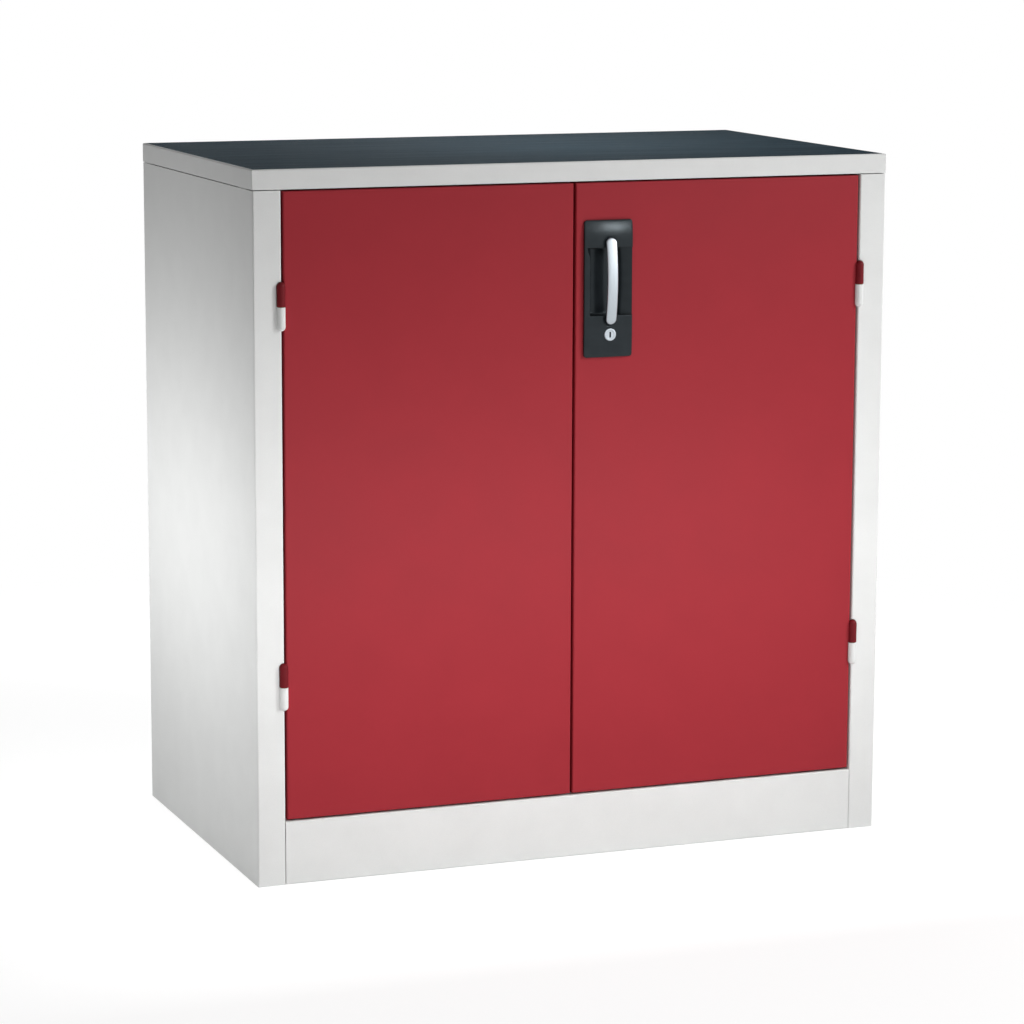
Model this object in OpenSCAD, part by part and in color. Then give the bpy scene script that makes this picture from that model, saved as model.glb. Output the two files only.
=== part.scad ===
// Low steel storage cabinet with two hinged doors, a lever lock and two shelves.
// Millimetres, +Z up, the doors face -Y, the origin is on the floor under the middle of the whole object.

/* [Cabinet] */
// Overall width across the side panels
cabinet_w = 950; // [800:10:1200]
// Overall depth from the door fronts to the back
cabinet_d = 550; // [450:10:700]
// Overall height, to the top of the rubber mat and the rim round it
cabinet_h = 995; // [900:5:1300]

/* [Sheet metal] */
// Sheet of the carcass and the cover plate
body_sheet = 1.5; // [1:0.25:2]
// Sheet of the doors
door_sheet = 1.25; // [1:0.25:2]
// Sheet of the shelves
shelf_sheet = 1.25; // [1:0.25:2]
// Inside radius of the folds
fold_r = 0.75; // [0.5:0.25:2]

/* [Carcass] */
// Width of a front post
post_w = 40; // [34:1:60]
// Depth of a front post
post_d = 30; // [29:1:45]
// Lip folded in at the back of a post
post_lip = 16; // [10:1:25]
// Flange folded in at the back edge of a side panel
rear_flange = 22; // [15:1:40]
// Foot folded in along the floor
foot_w = 22; // [15:1:40]
// Height of the plinth
plinth_h = 90; // [60:5:150]
// How far the plinth's upper lip reaches under the cabinet floor
plinth_lip = 11; // [8:1:20]
// Height of the cabinet floor above the plinth
floor_step = 25; // [18:1:40]
// Depth of the rails under the cover plate
rail_d = 40; // [30:1:60]
// Height of the rails under the cover plate
rail_h = 35; // [30:1:60]
// Fine seam between the plinth and each post
plinth_seam = 0.4; // [0.3:0.1:1]
// Room between the posts and the rails behind them
post_room = 1; // [0.5:0.5:3]

/* [Cover plate] */
// Height of the cover plate under the mat
plate_h = 25; // [24:1:45]
// Shadow seam between the cover plate and the carcass
plate_seam = 1.2; // [0.5:0.1:3]
// How far the plate's lower lip lies on the rails
plate_overlap = 20; // [16:1:28]
// Thickness of the rubber mat
mat_t = 2.5; // [2:0.5:6]
// Width of the steel rim round the mat
mat_inset = 2.5; // [1:0.5:10]
// Room between the mat and its rim
mat_room = 0.3; // [0.2:0.1:1]
// Thread diameter of the plate bolts
plate_bolt_d = 6; // [5:1:6]
// Room round a plate bolt in its holes
plate_bolt_room = 0.3; // [0.2:0.1:0.5]
// How far a plate bolt shows past its nut
plate_bolt_stub = 1; // [0.5:0.5:3]
// Distance of the plate bolts from the cabinet's sides
plate_bolt_in = 90; // [60:5:150]
// Distance of the plate bolts from the edge of their rail
plate_bolt_edge = 10; // [9:0.5:12]

/* [Doors] */
// Depth of a door
door_d = 25; // [24:1:26]
// Lip folded in round the back of a door
door_lip = 14; // [10:1:16]
// Gap between a door and its post
side_gap = 3; // [2:0.5:4]
// Gap between the two doors
middle_gap = 3.5; // [2.5:0.5:5]
// Gap between the doors and the cover plate
top_gap = 2.5; // [2:0.5:5]
// Gap between the doors and the plinth
bottom_gap = 3; // [2:0.5:5]
// Place of the middle gap, sideways from the cabinet's centre
split_x = -7; // [-30:1:30]
// Width of the crown of a door stiffener
stiffener_w = 60; // [40:5:90]
// Flanges of a door stiffener
stiffener_flange = 15; // [10:1:20]
// Bare height left at each end of a door stiffener
stiffener_end = 30; // [20:5:60]

/* [Hinges] */
// Diameter of a hinge knuckle
knuckle_d = 12; // [11:0.5:15]
// Height of one half of a hinge
knuckle_l = 33.5; // [28:0.5:40]
// Diameter of a hinge pin
pin_d = 7; // [5:0.5:8]
// Free depth left over a hinge pin in the door's knuckle
pin_end = 1; // [0.5:0.5:2]
// Radial play of the pin in the door's knuckle
pin_play = 0.05; // [0.02:0.01:0.1]
// Thickness of a hinge washer
washer_t = 0.8; // [0.5:0.1:1.5]
// Play over a hinge washer
washer_play = 0.1; // [0.05:0.05:0.3]
// How far a hinge washer's edge lies inside the knuckle
washer_in = 1; // [0.5:0.1:1]
// Distance of the hinge axis in front of the doors
hinge_lead = 0.5; // [0.5:0.5:3]
// Shift of the hinge axis from the gap towards the post
hinge_shift = 2.5; // [1:0.5:3]
// Height of the lower hinge's parting above the door's lower edge
hinge_low = 189; // [100:1:250]
// Depth of the upper hinge's parting below the door's upper edge
hinge_high = 156; // [100:1:250]
// Room round a knuckle on the side that it turns against
knuckle_room = 0.6; // [0.4:0.1:1]

/* [Handle plate] */
// Width of the handle plate
grip_w = 73; // [70:1:90]
// Height of the handle plate
grip_h = 193; // [190:1:220]
// How far the handle plate stands proud of the door
grip_proud = 5.5; // [4.5:0.5:8]
// Corner radius of the handle plate
grip_corner = 4.5; // [2:0.5:8]
// Distance of the handle plate from the door's free edge
grip_edge = 11.7; // [10:0.1:30]
// Distance of the handle plate below the door's upper edge
grip_down = 52; // [45:1:120]
// Distance of the finger trough below the top of the plate
trough_down = 39; // [38:1:42]
// Height of the finger trough
trough_h = 95; // [80:1:96]
// Bare width of plate left of the finger trough
trough_rim = 7; // [6:0.5:10]
// Depth of the finger trough below the plate's face
trough_depth = 18; // [12:0.5:18]
// Depth left where the trough runs out at the plate's right edge
trough_exit = 2.5; // [1:0.5:3]
// Width of the ramp on the right of the finger trough
ramp_w = 26; // [20:1:30]
// Radius at the left foot of the finger trough
trough_r = 9; // [4:0.5:10]
// Wall of the finger trough
trough_wall = 2; // [1.5:0.25:2.5]
// Room round the trough in the door's skin
tub_room = 0.5; // [0.3:0.1:1]
// Thread diameter of the handle plate's screws
grip_screw_d = 4; // [3:0.5:5]
// Distance of the handle plate's screws from its edges
grip_screw_in = 8; // [7:0.5:10]
// Skin of the handle plate over the ends of its screws
grip_skin = 2; // [1:0.25:2]

/* [Lever] */
// Width of the lever
lever_w = 15.5; // [14:0.5:18]
// Length of the lever
lever_l = 122; // [110:1:124]
// Thickness of the lever
lever_t = 4.5; // [4:0.5:8]
// How far the lever bows out at its middle
lever_bow = 7; // [6:0.5:14]
// Metal of the lever's hub over the end of the spindle
hub_floor = 1; // [0.5:0.5:2]
// Gap between the lever's ends and the plate
lever_gap = 0.6; // [0.4:0.1:1.5]
// Distance of the lever's axis from the plate's left edge
lever_in = 38.5; // [38:0.5:42]
// Distance of the lever's axis below the top of the plate
lever_down = 32.5; // [30:0.5:34]
// Diameter of the spindle
spindle_d = 10; // [8:0.5:10]
// Radial play of the spindle in its bearings
spindle_play = 0.05; // [0.02:0.01:0.1]
// How far the spindle shows past its retaining ring
spindle_stub = 1; // [0.5:0.5:2]
// Wall of the bearing boss
boss_wall = 3; // [2:0.5:4]
// Thickness of the retaining ring on the spindle
ring_t = 1; // [0.8:0.1:1.5]
// Width of the retaining ring round the spindle
ring_w = 3; // [2:0.5:5]
// Play of the retaining ring behind the lock case
ring_play = 0.3; // [0.3:0.1:0.6]
// Width of the shallow ring round the lever's ends
end_ring = 2; // [1:0.5:3]
// Depth of the shallow ring round the lever's ends
end_ring_depth = 1.5; // [0.5:0.5:2]

/* [Rods] */
// Module of the pinion and the racks
gear_module = 1.5; // [1.25:0.05:1.6]
// Teeth on the pinion
gear_teeth = 18; // [18:1:20]
// Play between the teeth
gear_play = 0.25; // [0.15:0.05:0.4]
// Teeth on each rack
rack_teeth = 9; // [8:1:10]
// Width of a locking rod
rod_w = 10; // [8:0.5:12]
// Thickness of a locking rod
rod_t = 5; // [4:0.5:6]
// Room round a rod where it passes through sheet
rod_room = 0.8; // [0.5:0.1:2]
// How far the rods stay back inside the door
rod_back = 1; // [0.5:0.5:2]
// Gap between the layers of the lock
layer_gap = 1; // [0.5:0.25:1]
// Sheet of the lock case and the rod guides
case_sheet = 1.5; // [1:0.25:1.5]
// Height of the lock case
case_h = 56; // [52:1:64]
// Flanges of the lock case and the rod guides
case_flange = 8; // [7:0.5:9]
// Diameter of the lock case's rivets
rivet_d = 4; // [3:0.5:4]
// How far a rivet's head stands out
rivet_head = 1; // [0.5:0.1:1.2]
// Distance of the rivets from the ends of the lock case
rivet_in = 8; // [6:0.5:12]
// Height of a rod guide
guide_h = 20; // [12:1:30]
// Depth of the upper rod guide below the lock
guide_high = 200; // [100:5:260]
// Height of the lower rod guide above the door's lower edge
guide_low = 120; // [60:5:200]
// Room round a rod or a bolt in the hole that it shoots into
keeper_room = 1.5; // [1:0.1:2]

/* [Lock] */
// Distance of the lock below the top of the handle plate
lock_down = 161; // [158:0.5:166]
// Diameter of the lock's visible rim
rim_d = 17.4; // [16:0.2:20]
// Thickness of the lock's visible rim
rim_t = 1.6; // [1:0.2:3]
// Diameter of the lock barrel
barrel_d = 14.5; // [13:0.5:15]
// Diameter of the lock plug
plug_d = 11; // [10:0.5:12]
// Radial play of the plug in the barrel
plug_play = 0.05; // [0.02:0.01:0.1]
// How far the plug's face lies behind the rim
plug_sunk = 0.4; // [0.2:0.1:0.8]
// Diameter of the plug's tail
tail_d = 7; // [5:0.5:8]
// How far the plug's tail shows past the cam
tail_stub = 1; // [0.5:0.5:2]
// Width of the key slot
key_w = 2.6; // [2:0.1:3]
// Height of the key slot
key_h = 8; // [6:0.5:9]
// Depth of the key slot
key_depth = 12; // [8:1:14]
// Width of the barrel's nut across its flats
nut_w = 22; // [19:0.5:24]
// Thickness of the barrel's nut
nut_t = 4; // [3:0.5:6]
// How far the cam reaches into the rod
cam_bite = 3; // [2:0.5:4]
// Thickness of the cam
cam_t = 3; // [2:0.5:3.5]
// Angle that the cam's blade spans
cam_span = 60; // [40:5:80]
// Room between the cam and the notch in the rod
cam_room = 0.6; // [0.4:0.1:1]
// Hub of the cam
cam_hub_d = 13; // [11:0.5:15]

/* [Slide bolts] */
// Diameter of a slide bolt
bolt_d = 9; // [7:0.5:10]
// How far a slide bolt still reaches past its bracket when it is shot
bolt_tail = 9; // [5:1:20]
// Distance of the slide bolts from the left door's free edge
bolt_in = 26; // [24:0.5:40]
// Depth of the slide bolts behind the door's face
bolt_depth = 13; // [11:0.5:14]
// How far a slide bolt travels
bolt_travel = 18; // [14:0.5:20]
// Play of a bolt in its bracket, all round
bolt_play = 0.3; // [0.3:0.05:0.5]
// Width of a bolt bracket
bracket_w = 22; // [18:1:30]
// Height of a bolt bracket
bracket_l = 64; // [56:1:70]
// Distance of a bolt bracket from the end of the door
bracket_end = 35; // [30:1:45]
// Sheet of a bolt bracket
bracket_sheet = 2; // [1.5:0.25:3]
// Diameter of a bolt's thumb knob
knob_d = 7; // [5:0.5:8]
// How far a bolt's thumb knob stands out behind the bolt
knob_l = 9; // [6:0.5:12]

/* [Shelves] */
// Width of a shelf upright
upright_w = 30; // [24:1:40]
// Depth of a shelf upright
upright_t = 12; // [10:1:20]
// Distance of the front uprights behind the front posts
upright_front = 45; // [42:1:120]
// Distance of the rear uprights from the rear panel
upright_rear = 40; // [20:1:120]
// Pitch of the slots
slot_pitch = 25; // [20:1:32]
// Width of a slot
slot_w = 14; // [10:0.5:18]
// Height of a slot
slot_h = 5; // [4:0.5:7]
// Bare height at each end of an upright
slot_end = 45; // [30:1:60]
// Slot that carries the lower shelf
lower_slot = 9; // [5:1:12]
// Slot that carries the upper shelf
upper_slot = 19; // [15:1:24]
// Depth of a shelf's folded edge
shelf_h = 30; // [25:1:40]
// Lip folded in under a shelf's edge
shelf_lip = 14; // [10:1:20]
// Gap between a shelf and what stands beside it
shelf_gap = 1; // [0.5:0.5:3]
// Distance of the shelves behind the door rails
shelf_back = 25; // [15:1:40]
// Sheet of a shelf clip
clip_sheet = 2; // [1.5:0.25:3]
// Width of a shelf clip
clip_w = 18; // [16:1:24]
// Height of a shelf clip
clip_h = 24; // [18:1:30]
// Ledge of a shelf clip
clip_ledge = 12; // [8:1:16]
// How far a clip's hook hangs down from the middle of its slot
clip_drop = 7.5; // [5:0.5:10]
// Room between a clip's hook and its slot
clip_room = 0.4; // [0.2:0.1:1]

/* [Buffers] */
// Diameter of a rubber door buffer
buffer_d = 12; // [8:1:12]
// Gap between a closed door and its buffers
buffer_gap = 0.4; // [0.3:0.1:1]
// Distance of a buffer from the door's upright edges
buffer_in = 60; // [50:5:120]

/* [Hidden] */

$fn = 48;
arc_steps = 6;
cut = 1;

body_grey = [0.82, 0.83, 0.82];
door_red = [0.60, 0.18, 0.21];
hinge_red = [0.42, 0.11, 0.13];
shelf_grey = [0.78, 0.79, 0.78];
rubber_black = [0.17, 0.21, 0.24];
plastic_black = [0.18, 0.20, 0.21];
bright_steel = [0.80, 0.81, 0.83];
zinc_steel = [0.66, 0.67, 0.68];
brass = [0.72, 0.60, 0.34];

half_w = cabinet_w / 2;
lever_reach = grip_proud + lever_gap + lever_bow + lever_t;
front_y = (lever_reach - cabinet_d) / 2;
back_y = front_y + cabinet_d;
mid_y = (front_y + back_y) / 2;
wall_x = half_w - body_sheet;
rear_face = back_y - 2 * body_sheet;
plate_top = cabinet_h - mat_t;
plate_bottom = plate_top - plate_h;
body_top = plate_bottom - plate_seam;
stop_y = front_y + post_d + post_room;
floor_z = plinth_h + floor_step;
rail_z = plate_bottom - rail_h;
bend_r = fold_r + body_sheet;

plate_lip = post_d + post_room + plate_overlap;
plate_bolt_r = plate_bolt_d / 2;
plate_bolt_head = 0.65 * plate_bolt_d;
plate_nut_t = 0.8 * plate_bolt_d;
hex_r = plate_bolt_d;

door_bottom = plinth_h + bottom_gap;
door_top = plate_bottom - top_gap;
door_back = front_y + door_d;
jamb_x = half_w - post_w;
left_door_x = [-jamb_x + side_gap, split_x - middle_gap / 2];
right_door_x = [split_x + middle_gap / 2, jamb_x - side_gap];
door_skin_y = front_y + door_sheet;

hinge_x = jamb_x - side_gap / 2 + hinge_shift;
hinge_y = front_y - hinge_lead;
hinge_zs = [door_bottom + hinge_low, door_top - hinge_high];
knuckle_r = knuckle_d / 2;
bore_l = knuckle_l - knuckle_r;

grip_x = right_door_x[0] + grip_edge;
grip_top = door_top - grip_down;
grip_bottom = grip_top - grip_h;
grip_face = front_y - grip_proud;
trough_top = grip_top - trough_down;
trough_bottom = trough_top - trough_h;
trough_left = grip_x + trough_rim;
trough_floor = grip_face + trough_depth;
trough_back = trough_floor + trough_wall;
ramp_x = grip_x + grip_w - ramp_w;
ramp_slope = (trough_depth - trough_exit) / ramp_w;
tub_right = ramp_x + (trough_depth - grip_proud + trough_wall) / ramp_slope;
spindle_r = spindle_d / 2;
boss_r = spindle_r + spindle_play + boss_wall;

lever_x = grip_x + lever_in;
lever_z = grip_top - lever_down;
lever_low = lever_z + lever_w / 2 - lever_l;
lever_end_y = grip_face - lever_gap;
bow_r = (pow(lever_l / 2, 2) + pow(lever_bow, 2)) / (2 * lever_bow);
lever_seat = lever_end_y - lever_t / 2;

gear_pitch_r = gear_module * gear_teeth / 2;
gear_tip_r = gear_pitch_r + gear_module;
gear_root = 1.25 * gear_module;
pressure = 20;
base_r = gear_pitch_r * cos(pressure);
root_r = gear_pitch_r - gear_root;
flank = [for (k = [0 : arc_steps]) base_r + (gear_tip_r - base_r) * k / arc_steps];
tooth_pitch = PI * gear_module;
rod_travel = gear_pitch_r * PI / 2;
drive_y = trough_back + layer_gap;
drive_back = drive_y + rod_t;
case_y = drive_back + layer_gap;
case_back = case_y + case_sheet;
ring_y = case_back + ring_play;
case_z = [lever_z - case_h / 2, lever_z + case_h / 2];
case_x = [trough_left - trough_wall - case_sheet - layer_gap, grip_x + grip_w];
rivet_r = rivet_d / 2;

lock_z = grip_top - lock_down;
cam_r = gear_pitch_r + cam_bite;
plug_face = grip_face - rim_t;
barrel_back = drive_y - layer_gap;
barrel_r = barrel_d / 2;
plug_r = plug_d / 2;
tail_r = tail_d / 2;

rod_xs = [lever_x - gear_pitch_r - rod_w, lever_x + gear_pitch_r];
rack_over = 2;
rod_rack_end = (rack_teeth - rack_over + 1) * tooth_pitch;
guide_zs = [door_bottom + guide_low, lock_z - guide_high];

bolt_x = left_door_x[1] - bolt_in;
bolt_y = front_y + bolt_depth;
bolt_r = bolt_d / 2;
bolt_l = bracket_end + bracket_l + bolt_travel + bolt_tail - rod_back;
bracket_zs = [door_bottom + bracket_end, door_top - bracket_end - bracket_l];
knob_end = bracket_sheet + fold_r + knob_d;

upright_ys = [stop_y + upright_front, rear_face - upright_rear - upright_w];
upright_top = rail_z - post_room;
upright_face = wall_x - upright_t;
slot_count = floor((upright_top - floor_z - 2 * slot_end) / slot_pitch) + 1;
shelf_x = upright_face - clip_sheet - shelf_gap;
shelf_y = [stop_y + shelf_back, rear_face - shelf_gap];
buffer_l = post_d + post_room - door_d - buffer_gap;

// Plain shapes
module slab(low, high) {
    translate(low) cube(high - low);
}

// A rounded rectangle between two corners, drawn with squares and circles
module rounded_rect(low, high, r) {
    translate(low + [r, 0]) square(high - low - [2 * r, 0]);
    translate(low + [0, r]) square(high - low - [0, 2 * r]);
    for (x = [low[0] + r, high[0] - r], z = [low[1] + r, high[1] - r])
        translate([x, z]) circle(r);
}

// Extrudes an outline drawn in X and Z from one depth to another
module through_y(y0, y1) {
    translate([0, y1, 0]) rotate([90, 0, 0]) linear_extrude(y1 - y0) children();
}

// Extrudes an outline drawn in Y and Z from one side to the other
module along_x(x0, x1) {
    translate([x0, 0, 0]) rotate([90, 0, 90]) linear_extrude(x1 - x0) children();
}

// Extrudes an outline drawn in X and Y from one height to another
module up_z(z0, z1) {
    translate([0, 0, z0]) linear_extrude(z1 - z0) children();
}

// A round bar or hole square to the doors
module round_y(x, z, r, y0, y1) {
    translate([x, y1, z]) rotate([90, 0, 0]) cylinder(r = r, h = y1 - y0);
}

// Folded sheet: the outline of a strip of thickness t on the left of a path, with round bends
function turned(v, a) = [v[0] * cos(a) - v[1] * sin(a), v[0] * sin(a) + v[1] * cos(a)];
function along(path, i) = (path[i + 1] - path[i]) / norm(path[i + 1] - path[i]);
function left_of(path, i) = turned(along(path, i), 90);
function bend(path, i, t, r, far) =
    let (a = along(path, i - 1), b = along(path, i),
        turn = atan2(a[0] * b[1] - a[1] * b[0], a * b),
        way = sign(turn),
        near_r = turn > 0 ? r + t : r,
        far_r = turn > 0 ? r : r + t,
        n = left_of(path, i - 1),
        m = left_of(path, i),
        centre = path[i] + way * near_r * (n + m) / (1 + n * m))
    [for (k = [0 : arc_steps]) centre - way * (far ? far_r : near_r) * turned(n, turn * k / arc_steps)];
function backwards(list) = [for (i = [len(list) - 1 : -1 : 0]) list[i]];
function side_of(path, t, r, far) =
    [for (i = [1 : len(path) - 2]) each bend(path, i, t, r, far)];
module folded(path, t) {
    last = len(path) - 1;
    polygon(concat([path[0]], side_of(path, t, fold_r, false), [path[last]],
        [path[last] + t * left_of(path, last - 1)],
        backwards(side_of(path, t, fold_r, true)), [path[0] + t * left_of(path, 0)]));
}

// A rectangle standing on the zero line with its two upper corners rounded
function crowned(w, h, r) = concat([[-w / 2, 0], [w / 2, 0]],
    [for (k = [0 : arc_steps]) [w / 2 - r, h - r] + r * turned([1, 0], 90 * k / arc_steps)],
    [for (k = [0 : arc_steps]) [r - w / 2, h - r] + r * turned([0, 1], 90 * k / arc_steps)]);
module crowned_block(w, d, h, r) {
    intersection() {
        along_x(-w / 2, w / 2) polygon(crowned(d, h, r));
        rotate([0, 0, 90]) along_x(-d / 2, d / 2) polygon(crowned(w, h, r));
    }
}

// A sheet pan with folded edges, a lip round the open underside and, over its skin, room to cut a rim from
module pan(w, d, h, t, lip, over = 0) {
    difference() {
        crowned_block(w, d, h + over, fold_r + t);
        translate([0, 0, t]) crowned_block(w - 2 * t, d - 2 * t, h - 2 * t, fold_r);
        slab([lip - w / 2, lip - d / 2, -cut], [w / 2 - lip, d / 2 - lip, h / 2]);
    }
}

// The same on the other side of the cabinet
module on_side(side) {
    if (side == "left") children();
    else mirror([1, 0, 0]) children();
}

// Places the two halves of a left-hand hinge, each drawn outwards from the parting between them
module frame_half(z) {
    translate([-hinge_x, hinge_y, z]) mirror([0, 0, 1]) children();
}

module door_half(z) {
    translate([-hinge_x, hinge_y, z]) children();
}

// A round bar of length l with a domed end
module domed_bar(r, l) {
    cylinder(r = r, h = l - r);
    translate([0, 0, l - r]) sphere(r);
}

// The space that a half of a hinge turns in
module knuckle_clearance() {
    domed_bar(knuckle_r + knuckle_room, knuckle_l + knuckle_room);
}

// Carcass
module side_panel(side) {
    path = [[rear_flange - half_w, back_y], [-half_w, back_y], [-half_w, front_y], [-jamb_x, front_y],
        [-jamb_x, front_y + post_d], [-jamb_x - post_lip, front_y + post_d]];
    color(body_grey) on_side(side) difference() {
        union() {
            up_z(0, body_top) folded(path, body_sheet);
            slab([body_sheet / 2 - half_w, stop_y, 0],
                [foot_w - half_w, rear_face - foot_w - post_room, body_sheet]);
        }
        for (z = hinge_zs) {
            frame_half(z) domed_bar(knuckle_r, knuckle_l);
            door_half(z) knuckle_clearance();
        }
    }
}

module left_side_panel() {
    side_panel("left");
}

module right_side_panel() {
    side_panel("right");
}

module rear_panel() {
    outer_y = back_y - body_sheet;
    half_panel = wall_x - bend_r;
    color(body_grey) along_x(-half_panel, half_panel)
        folded([[outer_y - foot_w, 0], [outer_y, 0], [outer_y, body_top]], body_sheet);
}

module base_panel() {
    depth = rear_face - stop_y;
    color(body_grey) translate([0, stop_y + depth / 2, plinth_h])
        pan(2 * wall_x, depth, floor_step, body_sheet, foot_w);
}

module plinth_front() {
    half_plinth = jamb_x - plinth_seam;
    lip_y = stop_y + plinth_lip;
    color(body_grey) difference() {
        along_x(-half_plinth, half_plinth) folded([[lip_y, plinth_h], [front_y, plinth_h],
            [front_y, 0], [front_y + foot_w, 0]], body_sheet);
        rod_keeper(rod_xs[0], plinth_h - body_sheet);
        bolt_keeper(plinth_h - body_sheet);
    }
}

// Holes that the rods and the slide bolts shoot into
module rod_keeper(x, z) {
    slab([x - keeper_room, drive_y - keeper_room, z - cut],
        [x + rod_w + keeper_room, drive_back + keeper_room, z + body_sheet + cut]);
}

module bolt_keeper(z) {
    translate([bolt_x, bolt_y, z - cut]) cylinder(r = bolt_r + keeper_room, h = body_sheet + 2 * cut);
}

module front_top_rail() {
    color(body_grey) difference() {
        along_x(-wall_x, wall_x) folded([[stop_y + rail_d, plate_bottom], [stop_y, plate_bottom],
            [stop_y, rail_z], [stop_y + rail_d, rail_z]], body_sheet);
        plate_bolt_holes();
    }
}

module rear_top_rail() {
    color(body_grey) difference() {
        along_x(-wall_x, wall_x) folded([[rear_face - rail_d, rail_z], [rear_face, rail_z],
            [rear_face, plate_bottom], [rear_face - rail_d, plate_bottom]], body_sheet);
        plate_bolt_holes();
    }
}

// Cover plate
module at_plate_bolts() {
    for (x = [plate_bolt_in - half_w, half_w - plate_bolt_in],
        y = [stop_y + plate_bolt_edge, rear_face - rail_d + plate_bolt_edge])
        translate([x, y, plate_bottom]) children();
}

module plate_bolt_holes() {
    at_plate_bolts() translate([0, 0, -body_sheet - cut])
        cylinder(r = plate_bolt_r + plate_bolt_room, h = 2 * (body_sheet + cut));
}

// The space on top of the plate's skin, an inset away from its edges
module mat_bed(inset, top_z) {
    slab([inset - half_w, front_y + inset, plate_top], [half_w - inset, back_y - inset, top_z]);
}

module cover_plate() {
    color(body_grey) difference() {
        translate([0, mid_y, plate_bottom])
            pan(cabinet_w, cabinet_d, plate_h, body_sheet, plate_lip, mat_t);
        mat_bed(mat_inset, cabinet_h + cut);
        plate_bolt_holes();
        rod_keeper(rod_xs[1], plate_bottom);
        bolt_keeper(plate_bottom);
    }
}

module cover_plate_bolts() {
    color(zinc_steel) at_plate_bolts() {
        translate([0, 0, -body_sheet - plate_bolt_head])
            cylinder(r = hex_r, h = plate_bolt_head, $fn = 6);
        translate([0, 0, -body_sheet - plate_bolt_head / 2])
            cylinder(r = plate_bolt_r,
                h = plate_bolt_head / 2 + 2 * body_sheet + plate_nut_t + plate_bolt_stub);
    }
}

module cover_plate_nuts() {
    color(zinc_steel) at_plate_bolts() translate([0, 0, body_sheet]) difference() {
        cylinder(r = hex_r, h = plate_nut_t, $fn = 6);
        translate([0, 0, -cut]) cylinder(r = plate_bolt_r, h = plate_nut_t + 2 * cut);
    }
}

module rubber_mat() {
    color(rubber_black) mat_bed(mat_inset + mat_room, cabinet_h);
}

// Shelves
function slot_z(i) = floor_z + slot_end + i * slot_pitch;
function ledge_z(i) = slot_z(i) + slot_h - clip_h + clip_sheet;

module upright(side, y) {
    color(shelf_grey) on_side(side) difference() {
        up_z(floor_z, upright_top) folded([[-wall_x, y], [-upright_face, y],
            [-upright_face, y + upright_w], [-wall_x, y + upright_w]], body_sheet);
        for (i = [0 : slot_count - 1])
            translate([-upright_face, y + upright_w / 2, slot_z(i)])
                cube([4 * body_sheet, slot_w, slot_h], center = true);
    }
}

module front_left_upright() {
    upright("left", upright_ys[0]);
}

module front_right_upright() {
    upright("right", upright_ys[0]);
}

module rear_left_upright() {
    upright("left", upright_ys[1]);
}

module rear_right_upright() {
    upright("right", upright_ys[1]);
}

// One hooked clip on a left-hand upright
module clip(i, y) {
    hook_w = slot_w - 2 * clip_room;
    hook_h = slot_h - 2 * clip_room;
    hook_x = upright_face + body_sheet + clip_room;
    translate([0, y + upright_w / 2, slot_z(i)]) {
        slab([-upright_face, -clip_w / 2, slot_h - clip_h],
            [clip_sheet - upright_face, clip_w / 2, slot_h]);
        slab([-upright_face, -clip_w / 2, slot_h - clip_h],
            [clip_ledge - upright_face, clip_w / 2, slot_h - clip_h + clip_sheet]);
        slab([-hook_x - clip_sheet, -hook_w / 2, -hook_h / 2], [-upright_face, hook_w / 2, hook_h / 2]);
        slab([-hook_x - clip_sheet, -hook_w / 2, -clip_drop], [-hook_x, hook_w / 2, hook_h / 2]);
    }
}

module shelf_clips(i) {
    color(zinc_steel) for (side = ["left", "right"], y = upright_ys) on_side(side) clip(i, y);
}

module lower_shelf_clips() {
    shelf_clips(lower_slot);
}

module upper_shelf_clips() {
    shelf_clips(upper_slot);
}

module shelf(i) {
    depth = shelf_y[1] - shelf_y[0];
    color(shelf_grey) translate([0, shelf_y[0] + depth / 2, ledge_z(i)])
        pan(2 * shelf_x, depth, shelf_h, shelf_sheet, shelf_lip);
}

module lower_shelf() {
    shelf(lower_slot);
}

module upper_shelf() {
    shelf(upper_slot);
}

module door_buffers() {
    color(rubber_black) for (door = [left_door_x, right_door_x],
        x = [door[0] + buffer_in, door[1] - buffer_in],
        z = [door_bottom + door_lip / 2, door_top - door_lip / 2])
        round_y(x, z, buffer_d / 2, stop_y - buffer_l, stop_y);
}

// Hinges
module knuckle(start, bore_r) {
    difference() {
        translate([0, 0, start]) domed_bar(knuckle_r, knuckle_l - start);
        translate([0, 0, -cut]) cylinder(r = bore_r, h = bore_l + cut);
    }
}

module frame_knuckles(side) {
    color(body_grey) on_side(side) for (z = hinge_zs) frame_half(z) knuckle(washer_t, pin_d / 2);
}

module door_knuckles(side) {
    color(hinge_red) on_side(side) for (z = hinge_zs)
        door_half(z) knuckle(washer_play, pin_d / 2 + pin_play);
}

module hinge_pins(side) {
    color(bright_steel) on_side(side) for (z = hinge_zs)
        door_half(z - bore_l) cylinder(r = pin_d / 2, h = 2 * bore_l - pin_end);
}

module hinge_washers(side) {
    color(brass) on_side(side) for (z = hinge_zs) door_half(z - washer_t) difference() {
        cylinder(r = knuckle_r - washer_in, h = washer_t);
        translate([0, 0, -cut]) cylinder(r = pin_d / 2, h = washer_t + 2 * cut);
    }
}

module left_frame_knuckles() {
    frame_knuckles("left");
}

module right_frame_knuckles() {
    frame_knuckles("right");
}

module left_door_knuckles() {
    door_knuckles("left");
}

module right_door_knuckles() {
    door_knuckles("right");
}

module left_hinge_pins() {
    hinge_pins("left");
}

module right_hinge_pins() {
    hinge_pins("right");
}

module left_hinge_washers() {
    hinge_washers("left");
}

module right_hinge_washers() {
    hinge_washers("right");
}

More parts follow.
